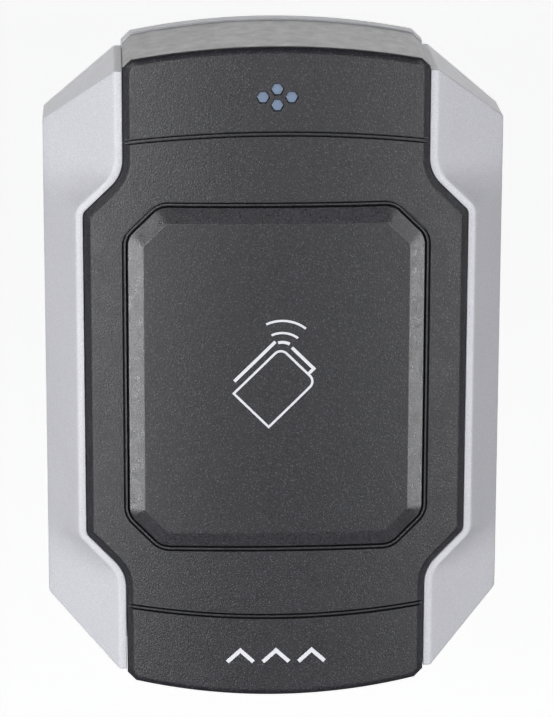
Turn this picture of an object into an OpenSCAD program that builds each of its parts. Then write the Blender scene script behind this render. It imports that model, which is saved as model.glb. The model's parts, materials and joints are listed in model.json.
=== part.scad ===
// Wall-mounted contactless ticket and card validator.
// Frame: X to the right, Z up, the wall is the plane Y = 0 and the front faces -Y.
// A "depth" is a distance forward of the wall, so it lies at Y = -depth.

/* [Body] */
// Width across both silver wings
overall_w = 102; // [100:1:108]
// Height of the silver rim, top to bottom
overall_h = 150; // [149:1:152]
// Depth of the dark front face along its middle
face_depth = 34.5; // [34:0.1:35]
// Radius of the face's crown, from side to side
crown_r = 260; // [250:5:300]
// How far the silver lip lies below the face beside it
lip_drop = 1.2; // [1:0.1:1.4]
// Depth of the wings' outer edge
wing_edge_depth = 15.5; // [13:0.5:18]
// Width of the dark cover at its top and bottom ends
cover_end_w = 66.6; // [66:0.1:67.2]
// Width of the dark cover across its wide middle
cover_middle_w = 84.1; // [83:0.1:85]
// Where the sloping shoulders would cross the centre line
shoulder_height = 78.7; // [78:0.1:79.4]
// Radius of the arched top and bottom edges
arch_r = 160; // [140:5:200]
// Width of the bevel down each side of the dark face
face_bevel = 1.55; // [1:0.05:1.8]
// Width of the silver lip
lip_w = 1.65; // [1.2:0.05:2]

/* [Reading pad] */
// Half the width of the groove round the pad
pad_half_w = 33.15; // [31:0.05:34]
// Half the height of the groove round the pad
pad_half_h = 39.25; // [37:0.05:40]
// How much of each pad corner is cut off
pad_corner = 7.4; // [6:0.1:9]
// Height of the pad's plateau above the face
pad_rise = 1.5; // [1:0.1:2]
// Width of the pad's sloping border
pad_slope_w = 3.4; // [2.5:0.1:4]
// Width of the decorative grooves
groove_w = 1.3; // [1:0.05:1.5]

/* [Indicators] */
// Height of the lens cluster above the centre
lens_z = 63.1; // [62:0.1:64]
// Size of each hexagonal lens across its corners
lens_across = 2.7; // [2.2:0.1:2.8]

/* [Mounting] */
// Spacing of the side-by-side wall screws
box_spacing = 60; // [58:0.5:61]
// Spacing of the wall screws one above the other
gang_spacing = 83.3; // [82:0.1:84]
// Radius of the slots for the wall screws
wall_slot_r = 2.2; // [1.8:0.1:2.4]
// Length of the slots for the wall screws, end to end
wall_slot_l = 9; // [7:0.5:10]
// How far the reader slides up to come off its hooks
lift_travel = 6; // [5:0.5:6]
// Radius of the hole for the connecting cable
cable_r = 3.2; // [2:0.1:3.4]

/* [Hidden] */
$fn = 48;

// Colours
dark_plastic = "#3b3b40";
pad_plastic = "#424247";
silver = "#c9c9ce";
board_green = "#1f5c3a";
chip_black = "#26262a";
steel = "#aab0b5";
brass = "#c8a452";
print_white = "#e6e6ea";

// Outline of the dark cover
cover_half_h = overall_h / 2 - 0.3;
end_half = cover_end_w / 2;
middle_half = cover_middle_w / 2;
middle_corner_r = 2;
shoulder_r = 8.5;
end_corner = 103;
wall_t = 2.2;
face_t = 2.5;
ceiling = face_depth - face_t;
lens_seat = 29.5;
seam_depth = 5;
bevel_drop = lip_drop + 0.3;
end_draft = 0.6;

// Silver frame
fit_gap = 0.15;
rim_start = 0.3;
rim_proud = 0.3;
rim_t = 4;
wing_t = 1.6;
wing_top_z = 68.4;
wing_corner_z = 54.9;
wing_reach = 80;

// Rear stack, as depths
rear_start = 4.2;
rear_end = 6;
gasket_end = 6.6;
flange_end = 8.2;
flange_reach = 9;
board_start = 13;
board_end = 14.6;
antenna_start = 25;
antenna_end = 26;

// Reading pad
pad_z = 0.1;
pad_corner_r = 5;
pad_sink = 1.3;
adhesive_t = 0.3;
print_t = 0.1;

// Grooves in the face, with a rib along their middle
groove_sink = 0.7;
rib_w = 0.35;
rib_sink = 0.15;
arched_groove_z = 55.1;
arched_groove_r = 250;

// Screw places
corner_screw = [26.5, 64.5];
board_screw = [22.5, 56];
antenna_screw = [21, 28];
lock_depth = 10.5;

// Mounting plate
plate_t = 1.5;
plate_middle = [36, 30];
plate_end = [27, 58];
window = [14, -30, 34];
hook_x = 18;
hook_z = [42, -38];
hook_w = 8;
hook_start = 6.4;
hook_end = 7.8;
hook_foot = 8;
bracket_t = 1.5;
lock_foot = 9;
tab_w = 12;
tab_z = -62.5;

// Moving details
tamper_at = [24, 10];
dip_at = [0, 22];
dip_count = 8;
dip_pitch = 2.54;
dip_travel = 1.6;
cable_at = [0, -14];

// ---------- Outlines ----------

function arc(centre, r, from, to, steps) =
  [for (i = [0:steps]) let (a = from + (to - from) * i / steps) centre + r * [cos(a), sin(a)]];

function flipped(points, sx, sz) = [for (i = [len(points) - 1:-1:0]) [points[i].x * sx, points[i].y * sz]];

// The curved side of the cover above its centre, grown outwards by d
function shoulder(d) =
  let (
    r = max(middle_corner_r + d, 0.3),
    x = middle_half + d,
    z = shoulder_height + d * sqrt(2) - x
  )
  concat(
    arc([x - r, z - r * tan(22.5)], r, 0, 45, 5),
    arc([end_half + shoulder_r, shoulder_height - end_half + shoulder_r * tan(22.5)],
        shoulder_r - d, 225, 180, 8)
  );

// One quarter of the cover's outline, from its side to the middle of its arched end.
// Far enough inwards the small cut at the end of the side has gone.
function quarter(d, draft) =
  let (
    r = arch_r + d,
    centre_z = cover_half_h - draft - arch_r,
    corner = end_corner - draft,
    k = corner + d * sqrt(2) - centre_z,
    corner_x = (k - sqrt(2 * r * r - k * k)) / 2,
    side_x = end_half + d,
    has_cut = corner_x < side_x - 0.05,
    start_x = has_cut ? corner_x : side_x
  )
  concat(
    shoulder(d),
    has_cut ? [[side_x, corner + d * (sqrt(2) - 1) - end_half]] : [],
    arc([0, centre_z], r, acos(start_x / r), 90, 8)
  );

// The whole outline of the cover, grown outwards by d and drawn in at its ends by a draft
function outline(d, draft = 0) =
  let (q = quarter(d, draft), half = concat(q, flipped([for (i = [0:len(q) - 2]) q[i]], -1, 1)))
  concat(half, [for (p = half) -p]);

// The side of the cover from below its bottom end to above its top end
function side_line(d) = concat(
  [[end_half + d, -wing_reach]],
  flipped(shoulder(d), 1, -1),
  shoulder(d),
  [[end_half + d, wing_reach]]
);

// Rectangle with its corners cut off and blended, grown outwards by d.
// Its long straight ends are in short parts, so that they can follow the crowned face.
function pad_outline(d) =
  let (
    t = pad_corner_r * tan(22.5),
    top_x = pad_half_w - pad_corner - t,
    parts = 5,
    q = concat(
      arc([pad_half_w - pad_corner_r, pad_half_h - pad_corner - t], pad_corner_r + d, 0, 45, 6),
      arc([top_x, pad_half_h - pad_corner_r], pad_corner_r + d, 45, 90, 6),
      [for (i = [1:parts - 1]) [top_x * (1 - i / parts), pad_half_h + d]]
    ),
    half = concat(q, flipped(q, -1, 1))
  )
  [for (p = concat(half, [for (p = half) -p])) p + [0, pad_z]];

function at_depth(points, depth) = [for (p = points) [p.x, -depth, p.y]];

// How far the crowned face has fallen back at a distance x from its middle
function crown(x) = crown_r - sqrt(crown_r * crown_r - x * x);

function on_face(points, rise) = [for (p = points) [p.x, crown(p.x) - face_depth - rise, p.y]];

// ---------- Shape helpers ----------

// Stands a flat drawing up and gives it the thickness between two depths
module layer(from, to) {
  translate([0, -from, 0])
    rotate([90, 0, 0])
      linear_extrude(to - from)
        children();
}

function middle_of(ring) = [for (p = ring) 1] * ring / len(ring);

// Solid through a row of closed rings that all have the same number of points,
// closed at both ends by a fan about the ring's middle
module loft(rings) {
  n = len(rings[0]);
  last = (len(rings) - 1) * n;
  first_middle = len(rings) * n;
  polyhedron(
    points = concat(
      [for (ring = rings) each ring],
      [middle_of(rings[0]), middle_of(rings[len(rings) - 1])]
    ),
    faces = concat(
      [for (j = [0:n - 1]) [j, (j + 1) % n, first_middle]],
      [for (j = [0:n - 1]) [last + (j + 1) % n, last + j, first_middle + 1]],
      [for (i = [0:len(rings) - 2], j = [0:n - 1])
        [i * n + j, (i + 1) * n + j, (i + 1) * n + (j + 1) % n]],
      [for (i = [0:len(rings) - 2], j = [0:n - 1])
        [i * n + j, (i + 1) * n + (j + 1) % n, i * n + (j + 1) % n]]
    )
  );
}

// Copies a piece to the four corners at plus and minus p
module at_corners(p) {
  for (x = [-p.x, p.x], z = [-p.y, p.y])
    translate([x, 0, z])
      children();
}

// Everything behind the crowned face, moved forwards by a rise
module behind_face(rise) {
  translate([0, crown_r - face_depth - rise, 0])
    cylinder(r = crown_r, h = overall_h + 10, center = true, $fn = 360);
}

// Cuts a flat drawing into the face, down to a floor that follows the crown
module face_pocket(sink) {
  difference() {
    layer(face_depth - 10, face_depth + 1)
      children();
    behind_face(-sink);
  }
}

// A flat drawing as a sheet that follows the crown between two heights above the face
module face_sheet(from, to) {
  difference() {
    intersection() {
      layer(face_depth - 10, face_depth + 5)
        children();
      behind_face(to);
    }
    behind_face(from);
  }
}

// A round post or hole along the depth axis
module round_post(r, from, to) {
  layer(from, to)
    circle(r);
}

// A block between two depths, centred on its place
module block(size, from, to) {
  layer(from, to)
    square(size, center = true);
}

// A pan-head screw with its head towards the wall and a cross recess
module pan_screw(head_start, head_h, head_r, shank_r, shank_end) {
  difference() {
    union() {
      round_post(head_r, head_start, head_start + head_h);
      round_post(shank_r, head_start + head_h, shank_end);
    }
    for (turn = [0, 90])
      layer(head_start - 0.1, head_start + head_h * 0.55)
        rotate(turn)
          square([head_r * 1.1, head_r * 0.28], center = true);
  }
}

// ---------- Mounting plate ----------

module plate_outline() {
  square([2 * plate_end.x, 2 * plate_end.y], center = true);
  translate([-plate_middle.x, -plate_middle.y])
    square([2 * plate_middle.x, 2 * plate_middle.y]);
  translate([-tab_w / 2, tab_z])
    square([tab_w, 10]);
}

module wall_slot(centre, turn) {
  straight = wall_slot_l / 2 - wall_slot_r;
  translate(centre)
    rotate(turn) {
      square([2 * straight, 2 * wall_slot_r], center = true);
      for (x = [-straight, straight])
        translate([x, 0])
          circle(wall_slot_r);
    }
}

module plate_holes() {
  translate([-window[0], window[1]])
    square([2 * window[0], window[2] - window[1]]);
  for (side = [-1, 1]) {
    wall_slot([side * box_spacing / 2, 0], 0);
    wall_slot([0, side * gang_spacing / 2], 90);
  }
  translate(tamper_at + [-3, -3])
    square([6, lift_travel + 6]);
}

module mounting_plate() {
  color(steel)
    layer(0, plate_t)
      difference() {
        plate_outline();
        plate_holes();
      }
}

// Bent brackets welded to the plate: a foot, an arm and a finger that points up
module plate_hooks() {
  color(steel)
    for (x = [-hook_x, hook_x], z = hook_z)
      translate([x - hook_w / 2, 0, z]) {
        translate([0, -plate_t - bracket_t, -hook_foot])
          cube([hook_w, bracket_t, hook_foot + bracket_t]);
        translate([0, -hook_end, 0])
          cube([hook_w, hook_end - plate_t, bracket_t]);
        translate([0, -hook_end, 0])
          cube([hook_w, hook_end - hook_start, bracket_t + lift_travel - 1]);
      }
}

// Bent bracket at the foot of the plate that the locking screw holds
module lock_bracket() {
  color(steel)
    difference() {
      union() {
        translate([-tab_w / 2, -plate_t - bracket_t, tab_z])
          cube([tab_w, bracket_t, lock_foot]);
        translate([-tab_w / 2, -lock_depth - 4, tab_z])
          cube([tab_w, lock_depth + 4 - plate_t, bracket_t]);
      }
      translate([0, -lock_depth, tab_z - 1])
        cylinder(r = 1.55, h = bracket_t + 2);
    }
}

// ---------- Silver frame ----------

// Solid on the right-hand side between the cover and the wing's sloping front
module wing_body(inner, lip, drop, edge_x, edge_depth, back) {
  near = side_line(inner);
  far = side_line(lip);
  near_top = on_face(near, -drop);
  far_top = on_face(far, -drop);
  loft([for (i = [0:len(near) - 1]) [
    [near[i].x, -back, near[i].y],
    near_top[i],
    far_top[i],
    [edge_x, -edge_depth, far[i].y],
    [edge_x, -back, far[i].y]
  ]]);
}

// Outline of the right-hand wing seen from the front, shrunk by s at its sloping ends
module wing_outline(s) {
  inner_x = end_half + lip_w;
  slope = (wing_top_z - wing_corner_z) / (overall_w / 2 - inner_x);
  lean = sqrt(1 + slope * slope);
  outer_x = overall_w / 2 + 3;
  upper = [
    [0, wing_top_z - s],
    [inner_x - s * (lean - 1) / slope, wing_top_z - s],
    [outer_x, wing_top_z - (outer_x - inner_x) * slope - s * lean]
  ];
  polygon(concat(upper, flipped(upper, 1, -1)));
}

module wing() {
  edge_x = overall_w / 2;
  difference() {
    intersection() {
      wing_body(fit_gap, fit_gap + lip_w, lip_drop, edge_x, wing_edge_depth, rim_start);
      layer(-1, face_depth)
        wing_outline(0);
    }
    intersection() {
      wing_body(fit_gap + 1.2, fit_gap + lip_w, lip_drop + 2, edge_x - wing_t, wing_edge_depth - 2.2, -1);
      layer(-2, face_depth)
        wing_outline(wing_t);
    }
  }
}

// Room for the plate's lock tab over the whole lift
module lock_notch() {
  translate([-tab_w / 2 - 1, tab_z - lift_travel - 0.5])
    square([tab_w + 2, lift_travel + bracket_t + 1.5]);
}

// Opening inside the flange, with pads left standing for the corner screws
module flange_opening() {
  difference() {
    polygon(outline(-flange_reach));
    corner_holes(4);
  }
}

// Ring behind the cover, with the flange that carries the gasket
module rear_rim() {
  difference() {
    union() {
      layer(rim_start, seam_depth)
        polygon(outline(rim_proud));
      layer(seam_depth - 1, flange_end)
        polygon(outline(-wall_t - fit_gap));
    }
    layer(rim_start - 1, gasket_end)
      polygon(outline(-rim_t));
    layer(gasket_end - 1, flange_end + 1) {
      flange_opening();
      corner_holes(1.7);
      lock_notch();
    }
  }
}

module silver_frame() {
  color(silver) {
    wing();
    mirror([1, 0, 0])
      wing();
    rear_rim();
  }
}

// ---------- Dark front cover ----------

// Drawing of the two arched grooves, or of the ribs along them
module arched_bands(width) {
  for (turn = [0, 180])
    rotate(turn)
      intersection() {
        translate([0, arched_groove_z - arched_groove_r])
          difference() {
            circle(arched_groove_r + width / 2, $fn = 360);
            circle(arched_groove_r - width / 2, $fn = 360);
          }
        translate([-end_half + 0.6, arched_groove_z - 6])
          square([2 * end_half - 1.2, 12]);
      }
}

// Drawing of the groove round the pad, or of the rib along it
module pad_band(width) {
  difference() {
    polygon(pad_outline(width / 2));
    polygon(pad_outline(-width / 2));
  }
}

module hexagon(across) {
  circle(d = across, $fn = 6);
}

// The four places of the lens cluster, a diamond
lens_places = [[-3.1, lens_z], [3.1, lens_z], [0, lens_z + 1.75], [0, lens_z - 1.75]];

module at_lenses() {
  for (p = lens_places)
    translate([p.x, 0, p.y])
      children();
}

module cover_bosses() {
  at_corners(corner_screw)
    round_post(3.4, flange_end, ceiling);
  at_corners(board_screw)
    round_post(2.8, board_end, ceiling);
  at_corners(antenna_screw)
    round_post(2.4, antenna_end, ceiling);
  translate([0, 0, lens_z])
    block([14, 10], lens_seat, ceiling + 0.5);
}

module cover_boss_holes() {
  at_corners(corner_screw)
    round_post(2.1, flange_end - 1, 18);
  at_corners(board_screw)
    round_post(1.1, board_end - 1, 24);
  at_corners(antenna_screw)
    round_post(0.85, antenna_end - 1, 29.2);
}

module lock_screw_hole() {
  translate([0, -lock_depth, -cover_half_h - 1]) {
    cylinder(r = 1.7, h = 8);
    cylinder(r = 3.1, h = 3.1);
  }
}

// Wedge along the right-hand side that cuts the face's bevel
module side_bevel() {
  spare = 0.6;
  inner = side_line(-face_bevel - spare);
  outer = side_line(spare);
  rise = bevel_drop * spare / face_bevel;
  low_inner = on_face(inner, rise);
  low_outer = on_face(outer, -bevel_drop - rise);
  high_inner = on_face(inner, 3);
  high_outer = on_face(outer, 3);
  loft([for (i = [0:len(inner) - 1]) [low_inner[i], high_inner[i], high_outer[i], low_outer[i]]]);
}

// The cover without its bosses, holes and grooves
module cover_shell() {
  difference() {
    intersection() {
      loft([at_depth(outline(0), seam_depth), at_depth(outline(0, end_draft), face_depth + 1)]);
      behind_face(0);
    }
    intersection() {
      layer(seam_depth - 1, face_depth)
        polygon(outline(-wall_t));
      behind_face(-face_t);
    }
    side_bevel();
    mirror([1, 0, 0])
      side_bevel();
  }
}

module front_cover() {
  color(dark_plastic)
    difference() {
      union() {
        cover_shell();
        cover_bosses();
        translate([-6, -lock_depth - 4, -cover_half_h + 1])
          cube([12, 4 + lock_depth - flange_end - fit_gap, 4]);
      }
      cover_boss_holes();
      lock_screw_hole();
      at_lenses()
        layer(lens_seat - 1, face_depth + 1)
          hexagon(lens_across + 0.3);
      face_pocket(rib_sink) {
        arched_bands(rib_w);
        pad_band(rib_w);
      }
      face_pocket(groove_sink)
        difference() {
          union() {
            arched_bands(groove_w);
            pad_band(groove_w);
          }
          arched_bands(rib_w);
          pad_band(rib_w);
        }
      face_pocket(pad_sink)
        polygon(pad_outline(-groove_w / 2 + 0.05));
    }
}

// ---------- Reading pad ----------

module card_pad() {
  base = pad_outline(-groove_w / 2);
  past = 1.2;
  top = pad_outline(-groove_w / 2 - pad_slope_w * past);
  color(pad_plastic)
    difference() {
      intersection() {
        loft([
          at_depth(base, face_depth - 8),
          on_face(base, 0),
          on_face(top, pad_rise * past),
          at_depth(top, face_depth + 5)
        ]);
        behind_face(pad_rise);
      }
      behind_face(adhesive_t - pad_sink);
    }
}

module pad_adhesive() {
  color("#d8d4c4")
    face_sheet(-pad_sink, adhesive_t - pad_sink)
      polygon(pad_outline(-groove_w / 2 - 1.5));
}

// Straight printed stroke between two points
module stroke(a, b, w) {
  along = b - a;
  translate(a)
    rotate(atan2(along.y, along.x))
      translate([-w / 2, -w / 2])
        square([norm(along) + w, w]);
}

// Printed curve about the origin
module curved_stroke(r, w, half_angle) {
  inner = r - w / 2;
  outer = r + w / 2;
  polygon(concat(
    arc([0, 0], outer, 83 - half_angle, 83 + half_angle, 10),
    arc([0, 0], inner, 83 + half_angle, 83 - half_angle, 10)
  ));
}

// Outline of a card with two rounded corners at its far end
module card_outline(grow) {
  translate([-7.3 - grow, -5.45 - grow])
    square([12.9 + grow, 10.9 + 2 * grow]);
  translate([5.5, -3.65])
    square([1.8 + grow, 7.3]);
  for (z = [-3.65, 3.65])
    translate([5.5, z])
      circle(1.8 + grow);
}

// Generic symbol: a card held up to radio waves
module card_symbol() {
  color(print_white)
    face_sheet(pad_rise, pad_rise + print_t) {
      translate([-0.5, -1.4])
        rotate(45) {
          difference() {
            card_outline(0.25);
            card_outline(-0.25);
          }
          stroke([-4.9, 7.3], [7.1, 7.3], 0.7);
          stroke([9.05, 3.4], [9.05, -3.1], 0.7);
          stroke([9.05, -3.1], [7.6, -3.1], 0.7);
        }
      translate([1.1, 5.5]) {
        curved_stroke(3.4, 0.65, 22);
        curved_stroke(5.5, 0.5, 32);
        curved_stroke(8.25, 0.5, 32);
      }
    }
}

// Plain mark below the pad: three chevrons that point up to it
module front_mark() {
  color(print_white)
    face_sheet(0, print_t)
      for (x = [-8, 0, 8])
        translate([x, -64.3]) {
          stroke([-2.6, -1.2], [0, 1.2], 0.9);
          stroke([0, 1.2], [2.6, -1.2], 0.9);
        }
}

// ---------- Indicator lights ----------

module light_guide() {
  color("#9fb4d6") {
    at_lenses()
      layer(16, face_depth - 0.35)
        hexagon(lens_across);
    layer(28.1, lens_seat - 0.1)
      translate([0, lens_z])
        square([12, 8], center = true);
  }
}

module led_shroud() {
  color(chip_black)
    difference() {
      translate([0, 0, lens_z])
        block([13, 9], 15.6, 28);
      at_lenses()
        layer(15, 29)
          hexagon(lens_across + 0.2);
    }
}

module status_leds() {
  color("#f2e9c0")
    at_lenses()
      block([1.6, 1.2], board_end, board_end + 0.8);
}

// ---------- Antenna ----------

module antenna_board() {
  color(board_green)
    difference() {
      block([50, 64], antenna_start, antenna_end);
      at_corners(antenna_screw)
        round_post(1.1, antenna_start - 1, antenna_end + 1);
    }
}

// Square spiral track that winds inwards
module antenna_coil() {
  turns = 4;
  pitch = 1.6;
  track = 0.9;
  color(brass)
    layer(antenna_end, antenna_end + 0.1)
      for (i = [0:turns - 1]) {
        x = 18 - i * pitch;
        z = 24.5 - i * pitch;
        stroke([-x, -z], [x, -z], track);
        stroke([x, -z], [x, z], track);
        stroke([x, z], [-x, z], track);
        stroke([-x, z], [-x, -z + pitch], track);
        stroke([-x, -z + pitch], [-x + pitch, -z + pitch], track);
      }
}

module ferrite_sheet() {
  color("#4a4440")
    block([36, 50], antenna_start - 0.4, antenna_start);
}

module antenna_screws() {
  color(steel)
    at_corners(antenna_screw)
      pan_screw(antenna_start - 1.2, 1.2, 1.9, 0.8, 28.8);
}

module antenna_header() {
  color(chip_black)
    translate([0, 0, -29])
      difference() {
        block([10.2, 2.5], board_end, board_end + 8.5);
        for (i = [-1.5:1.5])
          translate([i * dip_pitch, 0, 0])
            block([0.7, 0.7], board_end - 1, board_end + 9);
      }
}

// ---------- Main board ----------

module main_board() {
  color(board_green)
    difference() {
      layer(board_start, board_end) {
        square([54, 120], center = true);
        translate([-16, 55])
          square([32, 12]);
      }
      at_corners(board_screw)
        round_post(1.3, board_start - 1, board_end + 1);
    }
}

module main_board_screws() {
  color(steel)
    at_corners(board_screw)
      pan_screw(board_start - 1.6, 1.6, 2.3, 1.05, 22);
}

// Moulded chip with legs along two or four of its sides, standing forward of the board
module chip(size, h, legs, pitch, sides) {
  block(size, board_end + 0.1, board_end + h);
  layer(board_end, board_end + 0.4)
    for (side = [1:sides], i = [0:legs - 1])
      rotate(side * 360 / sides)
        translate([(i - (legs - 1) / 2) * pitch, size.y / 2])
          square([pitch * 0.5, 1.8], center = true);
}

module controller_chip() {
  color(chip_black)
    translate([-8, 0, 2])
      chip([10, 10], 1.5, 8, 1, 4);
}

module radio_chip() {
  color(chip_black)
    translate([10, 0, 14])
      chip([6, 6], 1, 5, 0.95, 4);
}

module bus_driver_chip() {
  color(chip_black)
    translate([14, 0, -8])
      chip([5, 3.9], 1.6, 4, 1.27, 2);
}

module crystal() {
  color(steel)
    translate([10, 0, 24])
      layer(board_end, board_end + 3.5) {
        square([6.6, 4.6], center = true);
        for (x = [-3.3, 3.3])
          translate([x, 0])
            circle(2.3);
      }
}

module voltage_regulator() {
  color(chip_black)
    translate([-14, 0, -17]) {
      block([6.5, 6], board_end + 0.1, board_end + 2.3);
      translate([0, 0, 3.6])
        block([5.4, 2.4], board_end, board_end + 0.6);
      for (x = [-2.3, 0, 2.3])
        translate([x, 0, -3.8])
          block([0.8, 2.4], board_end, board_end + 0.6);
    }
}

module power_inductor() {
  color("#55524e")
    translate([-15, 0, -32])
      difference() {
        block([7.3, 7.3], board_end, board_end + 4.2);
        round_post(2.4, board_end + 3.6, board_end + 5);
      }
}

module reservoir_capacitors() {
  color(steel)
    for (x = [10, 20])
      translate([x, 0, -44]) {
        block([8.3, 8.3], board_end, board_end + 0.6);
        round_post(4, board_end + 0.6, board_end + 8.5);
      }
}

module surge_fuses() {
  color("#3f6e52")
    for (z = [-50, -44])
      translate([-20, 0, z])
        block([4.5, 3.2], board_end, board_end + 1.6);
}

// Small ceramic capacitors and resistors in rows
module chip_parts() {
  color("#b59f7a") {
    for (i = [0:5])
      translate([-22, 0, -6 + i * 5])
        block([2, 1.2], board_end, board_end + 0.8);
    for (i = [0:4])
      translate([-14 + i * 4, 0, 36])
        block([1.2, 2], board_end, board_end + 0.8);
    for (i = [0:4])
      translate([22, 0, -28 + i * 5])
        block([2, 1.2], board_end, board_end + 0.6);
  }
}

module buzzer() {
  color(chip_black)
    translate([-4, 0, -48])
      difference() {
        round_post(6, board_end, board_end + 8.5);
        round_post(1, board_end + 7, board_end + 9);
      }
}

// ---------- Parts on the back of the main board ----------

module cable_header() {
  color("#e9e6dc")
    translate([0, 0, -30])
      difference() {
        block([26, 6], 8.6, board_start);
        block([24.4, 4.4], 8, 12);
      }
}

module header_pins() {
  color(brass)
    for (i = [-4:4])
      translate([i * 2.5, 0, -30])
        block([0.6, 0.6], 9.6, 12);
}

module at_dip(i) {
  translate([dip_at.x + (i - (dip_count + 1) / 2) * dip_pitch, 0, dip_at.y])
    children();
}

module dip_switch_body() {
  color("#a8342b")
    difference() {
      translate([dip_at.x, 0, dip_at.y])
        block([dip_count * dip_pitch + 1.8, 9.4], 8.2, board_start);
      for (i = [1:dip_count])
        at_dip(i)
          block([1.6, dip_travel + 2.2], 7, 9.4);
    }
}

// The slider starts at the lower end of its pocket and moves up
module dip_slider(i) {
  color("#f4f2ec")
    at_dip(i)
      translate([0, 0, -dip_travel / 2])
        block([1.1, 1.7], 7.5, 9.3);
}

module tamper_switch_body() {
  color(chip_black)
    translate([tamper_at.x, 0, tamper_at.y])
      difference() {
        block([6, 6], 9.7, board_start);
        round_post(1.6, 9, 12.5);
      }
}

// Pushrod that reaches the wall through the rear cover and the mounting plate
module tamper_plunger() {
  color("#d9d9dc")
    translate([tamper_at.x, 0, tamper_at.y]) {
      round_post(1.5, 0.05, 12);
      round_post(2.7, 7.5, 8.1);
    }
}

// Wire coil round the pushrod, between its collar and the switch
module tamper_spring() {
  coil_r = 2.15;
  wire_r = 0.16;
  turns = 3;
  start = 8.3;
  pitch = 0.42;
  steps = 16;
  color(steel)
    translate([tamper_at.x, 0, tamper_at.y])
      loft([for (i = [0:turns * steps])
        let (a = i * 360 / steps, depth = start + i * pitch / steps)
          [for (j = [5:-1:0])
            let (r = coil_r + wire_r * cos(j * 60))
              [r * cos(a), -depth - wire_r * sin(j * 60), r * sin(a)]]]);
}

// ---------- Rear closure ----------

module hook_slots() {
  for (x = [-hook_x, hook_x], z = hook_z)
    translate([x - hook_w / 2 - 0.5, z - lift_travel - 0.5])
      square([hook_w + 1, lift_travel + bracket_t + 0.8]);
}

module corner_holes(r) {
  for (x = [-corner_screw.x, corner_screw.x], z = [-corner_screw.y, corner_screw.y])
    translate([x, z])
      circle(r);
}

module rear_gasket() {
  color("#2c2c2e")
    layer(rear_end, gasket_end)
      difference() {
        polygon(outline(-rim_t - 0.2));
        difference() {
          polygon(outline(-flange_reach + 0.5));
          corner_holes(3.6);
        }
        corner_holes(1.7);
        lock_notch();
      }
}

module rear_cover() {
  color(dark_plastic)
    layer(rear_start, rear_end)
      difference() {
        polygon(outline(-rim_t - 0.2));
        corner_holes(1.6);
        hook_slots();
        lock_notch();
        translate(cable_at)
          circle(4.9);
        translate(dip_at)
          square([dip_count * dip_pitch + 3, 10.4], center = true);
        translate(tamper_at)
          circle(1.8);
      }
}

module rear_cover_screws() {
  color(steel)
    at_corners(corner_screw)
      pan_screw(rear_start - 1.6, 1.6, 2.75, 1.4, 14);
}

module thread_inserts() {
  color(brass)
    at_corners(corner_screw)
      difference() {
        round_post(2.1, flange_end, 14);
        round_post(1.45, flange_end - 1, 15);
      }
}

// Rubber sleeve that guards the connecting cable
module cable_grommet() {
  color("#1d1d1f")
    translate([cable_at.x, 0, cable_at.y])
      difference() {
        union() {
          round_post(6.3, rear_start - 1.2, rear_start);
          round_post(4.9, rear_start, rear_end);
          round_post(6.3, rear_end, rear_end + 1.2);
        }
        round_post(cable_r, 0, 12);
      }
}

module rating_label() {
  color("#e8e8ea")
    translate([0, 0, 53])
      block([34, 12], rear_start - 0.12, rear_start);
}

// Screw that locks the reader down on the plate's tab from below
module lock_screw() {
  head_r = 2.75;
  head_bottom = -cover_half_h + 0.2;
  color(steel)
    translate([0, -lock_depth, head_bottom])
      difference() {
        union() {
          cylinder(r = head_r, h = 1.8);
          cylinder(r = 1.5, h = 15);
        }
        translate([0, 0, -0.1])
          cylinder(r = 1.3, h = 1.3, $fn = 6);
      }
}

mounting_plate();
plate_hooks();
lock_bracket();
silver_frame();
front_cover();
card_pad();
pad_adhesive();
card_symbol();
front_mark();
light_guide();
led_shroud();
status_leds();
antenna_board();
antenna_coil();
ferrite_sheet();
antenna_screws();
antenna_header();
main_board();
main_board_screws();
controller_chip();
radio_chip();
bus_driver_chip();
crystal();
voltage_regulator();
power_inductor();
reservoir_capacitors();
surge_fuses();
chip_parts();
buzzer();
cable_header();
header_pins();
dip_switch_body();
dip_slider(1);  // dip_slider_1
dip_slider(2);  // dip_slider_2
dip_slider(3);  // dip_slider_3
dip_slider(4);  // dip_slider_4
dip_slider(5);  // dip_slider_5
dip_slider(6);  // dip_slider_6
dip_slider(7);  // dip_slider_7
dip_slider(8);  // dip_slider_8
tamper_switch_body();
tamper_plunger();
tamper_spring();
rear_gasket();
rear_cover();
rear_cover_screws();
thread_inserts();
cable_grommet();
rating_label();
lock_screw();
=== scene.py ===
import json
import math

import bmesh
import bpy
import numpy as np
from mathutils import Matrix, Vector, geometry


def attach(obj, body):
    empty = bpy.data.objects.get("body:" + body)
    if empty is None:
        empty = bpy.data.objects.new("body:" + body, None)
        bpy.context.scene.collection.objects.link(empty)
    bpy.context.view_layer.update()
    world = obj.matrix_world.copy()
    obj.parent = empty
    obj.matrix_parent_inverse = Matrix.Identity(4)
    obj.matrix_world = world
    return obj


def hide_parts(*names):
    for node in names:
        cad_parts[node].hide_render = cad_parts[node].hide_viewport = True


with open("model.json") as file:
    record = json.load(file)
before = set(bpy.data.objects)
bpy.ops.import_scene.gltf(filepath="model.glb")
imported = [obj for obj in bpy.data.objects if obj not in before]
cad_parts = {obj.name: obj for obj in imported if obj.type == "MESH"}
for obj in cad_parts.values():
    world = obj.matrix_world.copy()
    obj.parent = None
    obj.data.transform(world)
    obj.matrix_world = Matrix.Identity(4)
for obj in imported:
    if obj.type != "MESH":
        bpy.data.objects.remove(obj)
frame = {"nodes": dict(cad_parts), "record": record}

# Looks of a wall-mounted ticket validator. Lengths in the first part are in millimetres:
# x to the right, z up, and "depth" is the distance in front of the wall, along -Y.

MM = 0.001
ROOT2 = math.sqrt(2)
TAN_22 = math.tan(math.radians(22.5))

# Shading breaks at edges sharper than this angle, in degrees
CREASE = 38

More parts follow.
